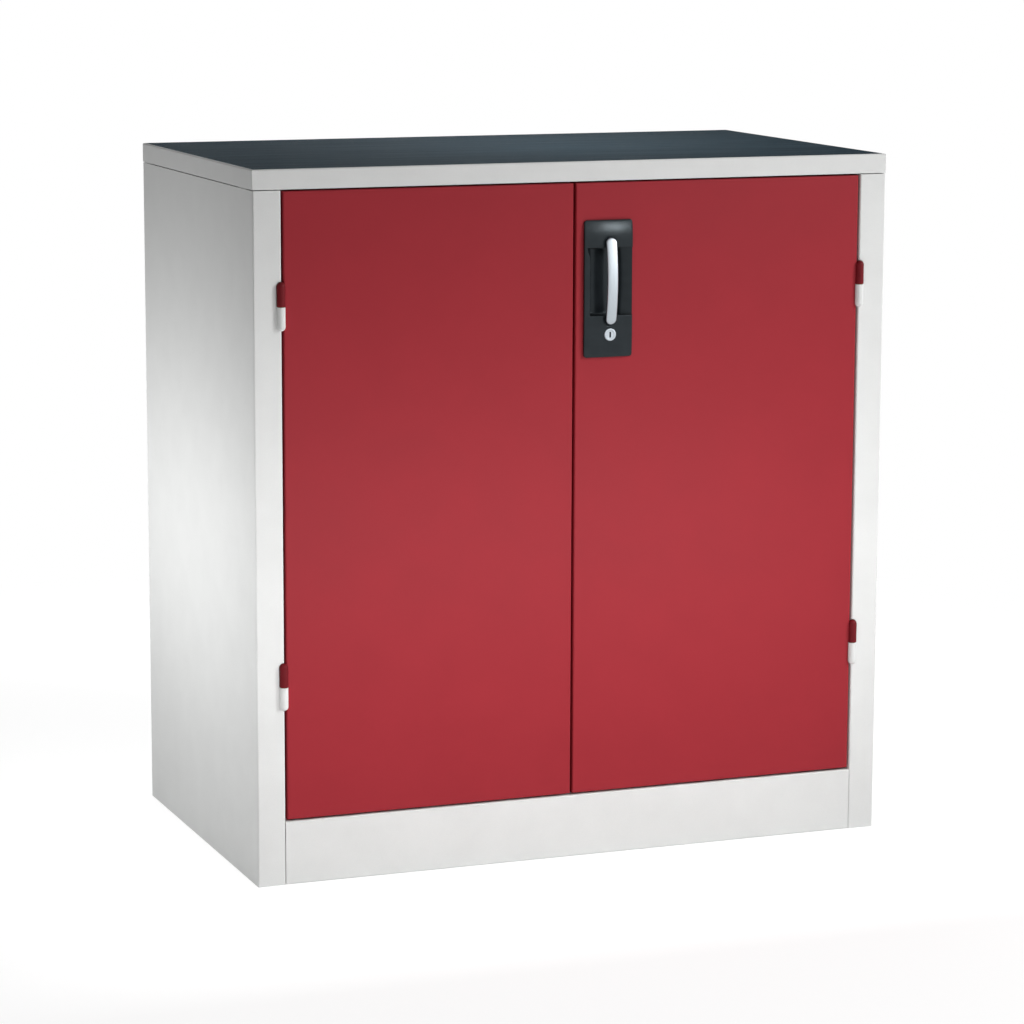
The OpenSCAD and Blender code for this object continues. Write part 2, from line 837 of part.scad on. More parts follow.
// Doors
module door_pan(xs) {
    height = door_top - door_bottom;
    translate([(xs[0] + xs[1]) / 2, door_back, door_bottom + height / 2]) rotate([90, 0, 0])
        pan(xs[1] - xs[0], height, door_d, door_sheet, door_lip);
}

module knuckle_cuts(side) {
    on_side(side) for (z = hinge_zs) {
        door_half(z) domed_bar(knuckle_r, knuckle_l);
        frame_half(z) knuckle_clearance();
    }
}

module stiffener(xs) {
    x = (xs[0] + xs[1]) / 2;
    side = stiffener_w / 2;
    crown_y = door_back - 2 * door_sheet - layer_gap;
    color(door_red) up_z(door_bottom + stiffener_end, door_top - stiffener_end)
        folded([[x - side - stiffener_flange, door_skin_y], [x - side, door_skin_y], [x - side, crown_y],
            [x + side, crown_y], [x + side, door_skin_y], [x + side + stiffener_flange, door_skin_y]],
            door_sheet);
}

module left_door_pan() {
    color(door_red) difference() {
        door_pan(left_door_x);
        knuckle_cuts("left");
        for (z = [door_bottom, door_top - door_sheet]) translate([bolt_x, bolt_y, z - cut])
            cylinder(r = bolt_r + rod_room, h = door_sheet + 2 * cut);
    }
}

module left_door_stiffener() {
    stiffener(left_door_x);
}

module rod_hole(x, z) {
    slab([x - rod_room, drive_y - rod_room, z - cut],
        [x + rod_w + rod_room, drive_back + rod_room, z + door_sheet + cut]);
}

module right_door_pan() {
    color(door_red) difference() {
        door_pan(right_door_x);
        knuckle_cuts("right");
        rod_hole(rod_xs[0], door_bottom);
        rod_hole(rod_xs[1], door_top - door_sheet);
        slab([trough_left - trough_wall - tub_room, front_y - cut, trough_bottom - trough_wall - tub_room],
            [tub_right + tub_room, door_skin_y + cut, trough_top + trough_wall + tub_room]);
        round_y(lever_x, lever_z, boss_r + tub_room, front_y - cut, door_skin_y + cut);
        round_y(lever_x, lock_z, barrel_r, front_y - cut, door_skin_y + cut);
        at_grip_screws() circle_hole(grip_screw_d / 2, door_skin_y + cut);
    }
}

module right_door_stiffener() {
    stiffener(right_door_x);
}

// Slide bolts on the left door
module bolt_bracket(z) {
    ear_y = bolt_y + bolt_r + bracket_sheet + bolt_play;
    color(zinc_steel) difference() {
        along_x(bolt_x - bracket_w / 2, bolt_x + bracket_w / 2)
            folded([[ear_y, z + bracket_l], [door_skin_y, z + bracket_l], [door_skin_y, z], [ear_y, z]],
                bracket_sheet);
        translate([bolt_x, bolt_y, z - cut]) cylinder(r = bolt_r + bolt_play, h = bracket_l + 2 * cut);
    }
}

module upper_bolt_bracket() {
    bolt_bracket(bracket_zs[1]);
}

module lower_bolt_bracket() {
    bolt_bracket(bracket_zs[0]);
}

module slide_bolt(z, knob_z) {
    color(bright_steel) {
        translate([bolt_x, bolt_y, z]) cylinder(r = bolt_r, h = bolt_l);
        round_y(bolt_x, knob_z, knob_d / 2, bolt_y, bolt_y + bolt_r + knob_l);
    }
}

module upper_slide_bolt() {
    slide_bolt(door_top - rod_back - bolt_l, bracket_zs[1] + knob_end);
}

module lower_slide_bolt() {
    slide_bolt(door_bottom + rod_back, bracket_zs[0] + bracket_l - knob_end);
}

// Handle plate
function trough_arc(r) = [for (k = [0 : arc_steps])
    [trough_left + trough_r, trough_floor - trough_r] + r * turned([-1, 0], -90 * k / arc_steps)];
function ramp_y(x) = trough_floor - (x - ramp_x) * ramp_slope;

module at_grip_screws() {
    for (x = [grip_x + grip_screw_in, grip_x + grip_w - grip_screw_in],
        z = [grip_bottom + grip_screw_in, grip_top - grip_screw_in])
        translate([x, 0, z]) children();
}

// A hole of a screw that goes into the handle plate from behind
module circle_hole(r, y1) {
    round_y(0, 0, r, grip_face + grip_skin, y1);
}

module trough() {
    right = grip_x + grip_w + cut;
    up_z(trough_bottom, trough_top) polygon(concat([[trough_left, grip_face - cut]], trough_arc(trough_r),
        [[ramp_x, trough_floor], [right, ramp_y(right)], [right, grip_face - cut]]));
}

module tub() {
    up_z(trough_bottom - trough_wall, trough_top + trough_wall)
        polygon(concat([[trough_left - trough_wall, front_y - cut]], trough_arc(trough_r + trough_wall),
            [[ramp_x, trough_back], [tub_right, ramp_y(tub_right) + trough_wall],
            [tub_right, front_y - cut]]));
}

module end_rings() {
    for (z = [lever_z, lever_low + lever_w / 2])
        round_y(lever_x, z, lever_w / 2 + end_ring, grip_face - cut, grip_face + end_ring_depth);
}

module handle_plate() {
    color(plastic_black) difference() {
        union() {
            through_y(grip_face, front_y)
                rounded_rect([grip_x, grip_bottom], [grip_x + grip_w, grip_top], grip_corner);
            tub();
            round_y(lever_x, lever_z, boss_r, front_y - cut, trough_back);
        }
        trough();
        end_rings();
        round_y(lever_x, lever_z, spindle_r + spindle_play, grip_face - cut, trough_back + cut);
        round_y(lever_x, lock_z, barrel_r, grip_face - cut, front_y + cut);
        at_grip_screws() circle_hole(grip_screw_d / 2, front_y + cut);
    }
}

module handle_plate_screws() {
    head_r = grip_screw_d;
    head_t = 0.6 * grip_screw_d;
    color(zinc_steel) at_grip_screws() {
        circle_hole(grip_screw_d / 2, door_skin_y + head_t);
        round_y(0, 0, head_r, door_skin_y, door_skin_y + head_t);
    }
}

// Lock case, rods and pinion
module hat(x0, x1, z0, z1) {
    up_z(z0, z1) folded([[x0 - case_flange, door_skin_y], [x0, door_skin_y], [x0, case_y], [x1, case_y],
        [x1, door_skin_y], [x1 + case_flange, door_skin_y]], case_sheet);
}

module at_case_rivets() {
    for (x = [case_x[0] - case_sheet - (case_flange - case_sheet) / 2,
            case_x[1] + case_sheet + (case_flange - case_sheet) / 2],
        z = [case_z[0] + rivet_in, case_z[1] - rivet_in])
        translate([x, door_skin_y, z]) children();
}

module lock_case() {
    color(zinc_steel) difference() {
        hat(case_x[0], case_x[1], case_z[0], case_z[1]);
        round_y(lever_x, lever_z, spindle_r + spindle_play, case_y - cut, case_back + cut);
        at_case_rivets() round_y(0, 0, rivet_r, -cut, case_sheet + cut);
    }
}

module lock_case_rivets() {
    color(zinc_steel) at_case_rivets() {
        round_y(0, 0, rivet_r, 0, case_sheet + rivet_head);
        round_y(0, 0, rivet_r + rivet_head, case_sheet, case_sheet + rivet_head);
    }
}

module rod_guides() {
    color(zinc_steel) for (z = guide_zs)
        hat(rod_xs[0] - rod_room, rod_xs[0] + rod_w + rod_room, z - guide_h / 2, z + guide_h / 2);
}

function involute(a) = tan(a) * 180 / PI - a;
function tooth_half(r) = 90 / gear_teeth - gear_play / gear_pitch_r * 45 / PI
    + involute(pressure) - involute(acos(min(1, base_r / r)));
function polar(r, a) = [r * cos(a), r * sin(a)];
function tooth(a) = concat([polar(root_r, a - tooth_half(base_r))],
    [for (r = flank) polar(r, a - tooth_half(r))],
    [for (r = backwards(flank)) polar(r, a + tooth_half(r))],
    [polar(root_r, a + tooth_half(base_r))]);

module drive_pinion() {
    color(zinc_steel) difference() {
        through_y(drive_y, drive_back) translate([lever_x, lever_z])
            polygon([for (i = [0 : gear_teeth - 1]) each tooth(i * 360 / gear_teeth)]);
        round_y(lever_x, lever_z, spindle_r, drive_y - cut, drive_back + cut);
    }
}

// A toothed bar beside the pinion: x runs outwards from the pitch line, z from the pinion's centre
module rack_bar(z0, z1, first_tooth) {
    half = tooth_pitch / 4 - gear_play / 4;
    slope = tan(pressure);
    rack_z = [first_tooth * tooth_pitch, (first_tooth + rack_teeth) * tooth_pitch];
    difference() {
        translate([0, z0]) square([rod_w, z1 - z0]);
        translate([-cut, rack_z[0]]) square([gear_root + cut, rack_z[1] - rack_z[0]]);
    }
    for (k = [0 : rack_teeth - 1]) translate([0, (first_tooth + k + 0.5) * tooth_pitch])
        polygon([[-gear_module, gear_module * slope - half], [2 * gear_root, -2 * gear_root * slope - half],
            [2 * gear_root, 2 * gear_root * slope + half], [-gear_module, half - gear_module * slope]]);
}

module upper_rod() {
    color(zinc_steel) through_y(drive_y, drive_back) translate([lever_x + gear_pitch_r, lever_z])
        rack_bar(-rod_rack_end, door_top - rod_back - lever_z, rack_over - rack_teeth);
}

module lower_rod() {
    color(zinc_steel) difference() {
        through_y(drive_y, drive_back) translate([lever_x - gear_pitch_r, lever_z]) mirror([1, 0])
            rack_bar(door_bottom + rod_back - lever_z, rod_rack_end, -rack_over);
        for (z = [lock_z, lock_z + rod_travel])
            round_y(lever_x, z, cam_r + cam_room, drive_y - cut, drive_back + cut);
    }
}

// Lever
module lever() {
    mid_z = lever_low + lever_l / 2;
    bow_y = lever_end_y - lever_bow + bow_r;
    hub_r = lever_w / 2 - end_ring / 2;
    color(bright_steel) difference() {
        union() {
            intersection() {
                through_y(front_y - lever_reach - cut, lever_end_y) {
                    translate([lever_x - lever_w / 2, lever_low + lever_w / 2])
                        square([lever_w, lever_l - lever_w]);
                    for (z = [lever_low + lever_w / 2, lever_z])
                        translate([lever_x, z]) circle(lever_w / 2);
                }
                difference() {
                    along_x(lever_x - lever_w, lever_x + lever_w) translate([bow_y, mid_z])
                        circle(bow_r + lever_t, $fn = 160);
                    along_x(lever_x - lever_w - cut, lever_x + lever_w + cut) translate([bow_y, mid_z])
                        circle(bow_r, $fn = 160);
                }
            }
            round_y(lever_x, lever_z, hub_r, lever_seat - hub_floor,
                grip_face + end_ring_depth - lever_gap);
        }
        round_y(lever_x, lever_z, spindle_r, lever_seat, grip_face + end_ring_depth);
    }
}

module lever_spindle() {
    color(zinc_steel) round_y(lever_x, lever_z, spindle_r, lever_seat,
        ring_y + ring_t + spindle_stub);
}

module retaining_ring() {
    color(bright_steel) difference() {
        round_y(lever_x, lever_z, spindle_r + ring_w, ring_y, ring_y + ring_t);
        round_y(lever_x, lever_z, spindle_r, ring_y - cut, ring_y + ring_t + cut);
    }
}

// Cylinder lock
module lock_barrel() {
    color(bright_steel) difference() {
        union() {
            round_y(lever_x, lock_z, rim_d / 2, plug_face, grip_face);
            round_y(lever_x, lock_z, barrel_r, grip_face - rim_t / 2, barrel_back);
        }
        round_y(lever_x, lock_z, plug_r + plug_play, plug_face - cut, barrel_back + cut);
    }
}

module lock_barrel_nut() {
    color(zinc_steel) difference() {
        translate([lever_x, door_skin_y + nut_t, lock_z]) rotate([90, 0, 0])
            cylinder(d = nut_w / cos(30), h = nut_t, $fn = 6);
        round_y(lever_x, lock_z, barrel_r, door_skin_y - cut, door_skin_y + nut_t + cut);
    }
}

module lock_plug() {
    face = plug_face + plug_sunk;
    color(bright_steel) difference() {
        union() {
            round_y(lever_x, lock_z, plug_r, face, barrel_back);
            round_y(lever_x, lock_z, tail_r, face + key_depth, drive_y + cam_t + tail_stub);
        }
        slab([lever_x - key_w / 2, face - cut, lock_z - key_h / 2],
            [lever_x + key_w / 2, face + key_depth, lock_z + key_h / 2]);
    }
}

module lock_cam() {
    reach = 2 * cam_r;
    color(zinc_steel) difference() {
        through_y(drive_y, drive_y + cam_t) translate([lever_x, lock_z]) {
            circle(cam_hub_d / 2);
            intersection() {
                circle(cam_r);
                polygon([[0, 0], polar(reach, -90 - cam_span / 2), polar(reach, -90 + cam_span / 2)]);
            }
        }
        round_y(lever_x, lock_z, tail_r, drive_y - cut, drive_y + cam_t + cut);
    }
}

left_side_panel();
right_side_panel();
rear_panel();
base_panel();
plinth_front();
front_top_rail();
rear_top_rail();
cover_plate();
cover_plate_bolts();
cover_plate_nuts();
rubber_mat();
front_left_upright();
front_right_upright();
rear_left_upright();
rear_right_upright();
lower_shelf();
upper_shelf();
lower_shelf_clips();
upper_shelf_clips();
door_buffers();
left_frame_knuckles();
right_frame_knuckles();
left_hinge_pins();
right_hinge_pins();
left_hinge_washers();
right_hinge_washers();
left_door_pan();
left_door_stiffener();
left_door_knuckles();
upper_bolt_bracket();
lower_bolt_bracket();
upper_slide_bolt();
lower_slide_bolt();
right_door_pan();
right_door_stiffener();
right_door_knuckles();
handle_plate();
handle_plate_screws();
lock_case();
lock_case_rivets();
rod_guides();
lock_barrel();
lock_barrel_nut();
lock_plug();
lock_cam();
lever();
lever_spindle();
drive_pinion();
retaining_ring();
upper_rod();
lower_rod();
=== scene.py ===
"""Dresses the steel storage cabinet: painted sheet, ribbed mat, moulded handle, studio and camera."""
from math import cos, pi, radians, sin

import bmesh
import bpy
from mathutils import Euler, Matrix, Vector


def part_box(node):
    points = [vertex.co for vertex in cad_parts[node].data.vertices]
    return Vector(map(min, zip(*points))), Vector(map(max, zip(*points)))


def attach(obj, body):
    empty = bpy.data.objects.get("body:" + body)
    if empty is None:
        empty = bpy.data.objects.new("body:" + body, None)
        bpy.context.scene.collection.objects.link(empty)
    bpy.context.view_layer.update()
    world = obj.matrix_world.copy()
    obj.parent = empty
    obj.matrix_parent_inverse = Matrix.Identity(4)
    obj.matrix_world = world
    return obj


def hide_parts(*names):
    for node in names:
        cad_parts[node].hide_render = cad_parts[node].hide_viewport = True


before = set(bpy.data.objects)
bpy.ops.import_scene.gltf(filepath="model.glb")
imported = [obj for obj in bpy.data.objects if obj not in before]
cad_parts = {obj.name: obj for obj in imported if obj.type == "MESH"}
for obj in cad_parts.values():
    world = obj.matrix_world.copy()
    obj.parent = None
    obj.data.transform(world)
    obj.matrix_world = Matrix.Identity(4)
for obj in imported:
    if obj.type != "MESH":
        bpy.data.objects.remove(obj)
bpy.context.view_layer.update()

MM = 0.001

# Finishes: the range of a noise texture that is in use, and how far paint strays from its colour
NOISE_RANGE = (0.25, 0.75)
PAINT_DARK = 0.94
PAINT_LIGHT = 1.05

# Camera, as read from the photograph
CAMERA_AT = (-1885 * MM, -4865 * MM, 1364 * MM)
CAMERA_YAW = -21.22
CAMERA_PITCH = -9.855
CAMERA_ROLL = 0.19
CAMERA_LENS = 125.58

# Studio
FLOOR_SIZE = 140.0
FLOOR_GLOW = 0.80
FLOOR_SHADE = 0.32
FLOOR_ALBEDO = 0.8
FOOT_IN = 4 * MM
SHADOW_REACH = (0.9, 2.0)
SKY_LEVEL = 0.12
DULL = 0.9
# Softboxes: name, place, point faced, width, height, power, and whether matt surfaces or gloss show it
SOFTBOXES = [
    ("key_softbox", (3.0, -2.5, 2.4), (0.05, -0.27, 0.6), 1.0, 1.0, 105, "both"),
    ("front_strip", (-0.12, -0.77, 0.40), (-0.12, -0.27, 0.40), 1.4, 0.25, 3.85, "fill"),
    ("left_strip", (-0.90, 0.10, 0.45), (-0.475, 0.10, 0.45), 0.9, 0.25, 2.9, "fill"),
    ("right_strip", (0.45, -0.80, 0.93), (0.30, -0.27, 0.93), 0.5, 0.15, 0.35, "fill"),
    ("rear_softbox", (1.0, 2.4, 1.5), (0.1, 0.0, 1.0), 0.7, 0.5, 8.5, "both"),
    ("back_softbox", (0.3, 2.6, 0.8), (0.0, 0.28, 0.5), 1.0, 1.0, 30, "both"),
    ("top_softbox", (0.10, 0.0, 1.35), (0.10, 0.0, 1.0), 0.3, 0.2, 1.6, "fill"),
    ("highlight_softbox", (1.11, -2.64, 1.12), (0.05, -0.27, 0.9), 0.2, 0.2, 4, "gloss"),
]

# Rubber mat
RIB_PITCH = 3 * MM
RIB_DEPTH = 0.8 * MM
RIB_TOP = 0.42
RIB_FOOT = 0.22
MAT_BORDER = 4 * MM

# Handle plate, with its finger trough
PLATE_PROUD = 5.5 * MM
PLATE_CORNER = 4.5 * MM
PLATE_EDGE = 1.4 * MM
TROUGH_DOWN = 39 * MM
TROUGH_TALL = 95 * MM
TROUGH_RIM = 7 * MM
TROUGH_DEPTH = 18 * MM
TROUGH_EXIT = 2.5 * MM
TROUGH_WALL = 2 * MM
TROUGH_COVE = 9 * MM
TROUGH_FILLET = 3 * MM
TROUGH_LIP = 1.2 * MM
RAMP_WIDE = 26 * MM
# The lip on the left of the trough sways from one side place at the top to another further down
SWAY_TOP = -2.4 * MM
SWAY_LOW = 1.6 * MM
SWAY_FROM = 2 * MM
SWAY_TO = 14 * MM
RIM_SWAY = 0.5
# How far the face rolls back at the top, at the bottom and at the sides
TOP_ROLL = 2.1 * MM
BOTTOM_ROLL = 0.8 * MM
SIDE_ROLL = 0.9 * MM
ROLL_START = 10 * MM
# Shallow dishes round the lever's ends
DISH_DEPTH = 1.5 * MM
DISH_START = 0.4 * MM
DISH_END = 2 * MM
MESH_STEP = 1.5 * MM

# Lever
LEVER_BOW = 7 * MM
LEVER_THICK = 4.5 * MM
LEVER_GAP = 0.6 * MM
LEVER_FRONT_EDGE = 2.2 * MM
LEVER_BACK_EDGE = 1 * MM
LEVER_CROWN = 0.5 * MM
LEVER_CROWN_AT = (0.5, 0.7, 0.85, 1)
LEVER_STEPS = 40
HUB_IN = 1 * MM

# Lock
BARREL_D = 14.5 * MM
BARREL_SEAT = BOTTOM_ROLL / 4
PLUG_PLAY = 0.05 * MM
RIM_EDGE = 0.6 * MM
KEYWAY = (2.6 * MM, 8 * MM)
# The dark insert inside the keyway is painted shade: it stands in for the keyway's shadow
KEYWAY_SHADE_IN = 0.5 * MM
KEYWAY_SHADE_THICK = 0.8 * MM
KEYWAY_SHADE_PLAY = 0.05 * MM

# Meshes
ARC_STEPS = 5
ROUND_STEPS = 48
SMOOTH_ANGLE = 40
MERGE = 0.001 * MM


def srgb(red, green, blue):
    """A colour given as screen values from 0 to 255, in the linear form that a shader takes."""
    def linear(value):
        value /= 255
        return value / 12.92 if value <= 0.04045 else ((value + 0.055) / 1.055) ** 2.4
    return (linear(red), linear(green), linear(blue), 1.0)


def scaled(colour, factor):
    """The same colour, lighter or darker."""
    return tuple(channel * factor for channel in colour[:3]) + (1.0,)


class Finish:
    """The node tree of one material, started afresh with a Principled shader."""

    def __init__(self, name, roughness=0.5, metallic=0.0, specular=0.5):
        self.material = bpy.data.materials.get(name) or bpy.data.materials.new(name)
        self.material.use_nodes = True
        self.tree = self.material.node_tree
        self.tree.nodes.clear()
        self.shader = self.add("ShaderNodeBsdfPrincipled", Roughness=roughness, Metallic=metallic)
        self.shader.inputs["Specular IOR Level"].default_value = specular
        self.tree.links.new(self.shader.outputs[0], self.add("ShaderNodeOutputMaterial").inputs[0])
        self.place = self.add("ShaderNodeTexCoord").outputs["Object"]

    def add(self, kind, **inputs):
        node = self.tree.nodes.new(kind)
        for name, value in inputs.items():
            self.put(node.inputs[name], value)
        return node

    def put(self, socket, value):
        if isinstance(value, bpy.types.NodeSocket):
            self.tree.links.new(value, socket)
        else:
            socket.default_value = value

    def stretched(self, stretch):
        """The object's own coordinates, drawn out by a factor along each axis."""
        node = self.add("ShaderNodeMapping", Vector=self.place)
        node.inputs["Scale"].default_value = [1 / factor for factor in stretch]
        return node.outputs[0]

    def noise(self, size, detail=2.0, stretch=(1, 1, 1)):
        """Soft random values, with patches of about this size."""
        return self.add("ShaderNodeTexNoise", Vector=self.stretched(stretch), Scale=1 / size,
                        Detail=detail).outputs[0]

    def cells(self, size):
        """A random value for each crystal of about this size."""
        node = self.add("ShaderNodeTexVoronoi", Vector=self.place, Scale=1 / size)
        split = self.add("ShaderNodeSeparateColor", Color=node.outputs["Color"])
        return split.outputs[0]

    def spread(self, value, low, high):
        """A random value mapped to run from low to high."""
        node = self.add("ShaderNodeMapRange", Value=value)
        for name, number in zip(("From Min", "From Max", "To Min", "To Max"), (*NOISE_RANGE, low, high)):
            node.inputs[name].default_value = number
        return node.outputs[0]

    def blend(self, value, dark, light):
        """A colour between dark and light."""
        node = self.add("ShaderNodeMix")
        node.data_type = "RGBA"
        colour_sockets = [socket for socket in node.inputs if socket.type == "RGBA"]
        self.put(node.inputs[0], self.spread(value, 0.0, 1.0))
        for socket, colour in zip(colour_sockets, (dark, light)):
            self.put(socket, colour)
        return next(socket for socket in node.outputs if socket.type == "RGBA")

    def paint(self, value, dark, light):
        self.put(self.shader.inputs["Base Color"], self.blend(value, dark, light))

    def roughen(self, value, low, high):
        self.put(self.shader.inputs["Roughness"], self.spread(value, low, high))

    def bump(self, height, depth):
        node = self.add("ShaderNodeBump", Height=height, Strength=1.0, Distance=depth)
        self.put(self.shader.inputs["Normal"], node.outputs[0])


# Finishes, one for each material slot of the model
def powder_coat(slot, colour):
    """Baked powder paint: fine orange peel, a faint grain and a slightly uneven gloss."""
    finish = Finish(slot, specular=0.12)
    mottle = finish.noise(60 * MM, detail=3)
    grain = finish.noise(0.9 * MM)
    dark = finish.blend(mottle, scaled(colour, PAINT_DARK), colour)
    light = finish.blend(mottle, colour, scaled(colour, PAINT_LIGHT))
    finish.paint(grain, dark, light)
    finish.roughen(mottle, low=0.44, high=0.52)
    finish.bump(finish.noise(1.8 * MM), depth=0.012 * MM)


def rubber():
    """Dull black rubber, a little streaky along the ribs."""
    finish = Finish("rubber", specular=0.01)
    streaks = finish.noise(14 * MM, detail=4, stretch=(22, 1, 1))
    finish.paint(streaks, srgb(28, 42, 50), srgb(52, 67, 76))
    finish.roughen(streaks, low=0.62, high=0.75)
    finish.bump(finish.noise(0.5 * MM), depth=0.03 * MM)


def handle_plastic():
    """Black moulded plastic with a fine spark-eroded grain."""
    finish = Finish("handle_plastic", specular=0.28)
    finish.shader.inputs["Specular Tint"].default_value = (0.82, 0.94, 1.0, 1.0)
    grain = finish.noise(0.7 * MM, detail=3)
    finish.paint(finish.noise(14 * MM), srgb(26, 30, 33), srgb(32, 36, 39))
    finish.roughen(grain, low=0.16, high=0.19)
    finish.bump(grain, depth=0.015 * MM)


def bright_metal():
    """Satin plated metal, brushed along its length."""
    finish = Finish("bright_metal", metallic=1.0)
    strokes = finish.noise(0.35 * MM, detail=3, stretch=(1, 1, 60))
    finish.paint(strokes, srgb(174, 182, 188), srgb(192, 199, 205))
    finish.roughen(strokes, low=0.40, high=0.47)
    finish.bump(strokes, depth=0.004 * MM)


def zinc_steel():
    """Zinc-plated steel with a faint spangle."""
    finish = Finish("zinc_steel", metallic=1.0)
    spangle = finish.cells(4 * MM)
    finish.paint(spangle, srgb(158, 162, 165), srgb(190, 192, 192))
    finish.roughen(finish.noise(6 * MM, detail=3), low=0.32, high=0.48)
    finish.bump(finish.noise(0.8 * MM), depth=0.006 * MM)


def washer_brass():
    """Dull brass, turned."""
    finish = Finish("washer_brass", metallic=1.0)
    patina = finish.noise(3 * MM, detail=3)
    finish.paint(patina, srgb(92, 76, 46), srgb(120, 100, 64))
    finish.roughen(patina, low=0.28, high=0.42)


# Meshes
def piece(name, mesh_builder, body, slot, *nodes):
    """Turns a bmesh into a piece that rides on a body, in place of the given nodes."""
    mesh = bpy.data.meshes.new(name)
    mesh_builder.to_mesh(mesh)
    mesh_builder.free()
    mesh.materials.append(bpy.data.materials[slot])
    for face in mesh.polygons:
        face.use_smooth = True
    mesh.set_sharp_from_angle(angle=radians(SMOOTH_ANGLE))
    made = bpy.data.objects.new(name, mesh)
    bpy.context.scene.collection.objects.link(made)
    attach(made, body)
    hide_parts(*nodes)


def ribbed_mat():
    """The rubber mat with fine ribs along the cabinet's width."""
    low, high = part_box("rubber_mat")
    count = int((high.y - low.y - 2 * MAT_BORDER) / RIB_PITCH)
    first = (low.y + high.y - count * RIB_PITCH) / 2
    groove = high.z - RIB_DEPTH
    rib = [(RIB_FOOT / 2, groove), (0.5 - RIB_TOP / 2, high.z), (0.5 + RIB_TOP / 2, high.z),
           (1 - RIB_FOOT / 2, groove)]
    stations = [(low.y, high.z)]
    for i in range(count):
        stations += [(first + (i + share) * RIB_PITCH, z) for share, z in rib]
    stations.append((high.y, high.z))
    bm = bmesh.new()
    rows = []
    for x in (low.x, high.x):
        rows.append([(bm.verts.new((x, y, z)), bm.verts.new((x, y, low.z))) for y, z in stations])
    for i in range(len(stations) - 1):
        (left, left_foot), (left_next, left_next_foot) = rows[0][i], rows[0][i + 1]
        (right, right_foot), (right_next, right_next_foot) = rows[1][i], rows[1][i + 1]
        bm.faces.new((left, right, right_next, left_next))
        bm.faces.new((left_foot, left_next_foot, right_next_foot, right_foot))
        bm.faces.new((left, left_next, left_next_foot, left_foot))
        bm.faces.new((right, right_foot, right_next_foot, right_next))
    for i in (0, -1):
        bm.faces.new((rows[0][i][0], rows[0][i][1], rows[1][i][1], rows[1][i][0]))
    bmesh.ops.recalc_face_normals(bm, faces=bm.faces)
    piece("ribbed_mat", bm, "carcass", "rubber", "rubber_mat")


def quarter(radius):
    """Points along a rounded edge: how far in from the side, and how far down from the crest."""
    turns = [step / ARC_STEPS * pi / 2 for step in range(ARC_STEPS + 1)]
    return [(radius * (1 - cos(turn)), radius * (1 - sin(turn))) for turn in turns]


def spaced(start, end):
    """Evenly spaced places between two others, about a mesh step apart."""
    count = max(2, round(abs(end - start) / MESH_STEP))
    return [start + (end - start) * k / count for k in range(1, count)]


def eased(start, end, value):
    """0 before start, 1 after end, and an S-curve between them."""
    share = min(1, max(0, (value - start) / (end - start)))
    return share * share * (3 - 2 * share)


def net(bm, rows, closed=False):
    """Faces between rows of vertices of the same length; closed joins each row's ends."""
    count = len(rows[0])
    for low, high in zip(rows, rows[1:]):
        for i in range(count if closed else count - 1):
            k = (i + 1) % count
            bm.faces.new((low[i], low[k], high[k], high[i]))


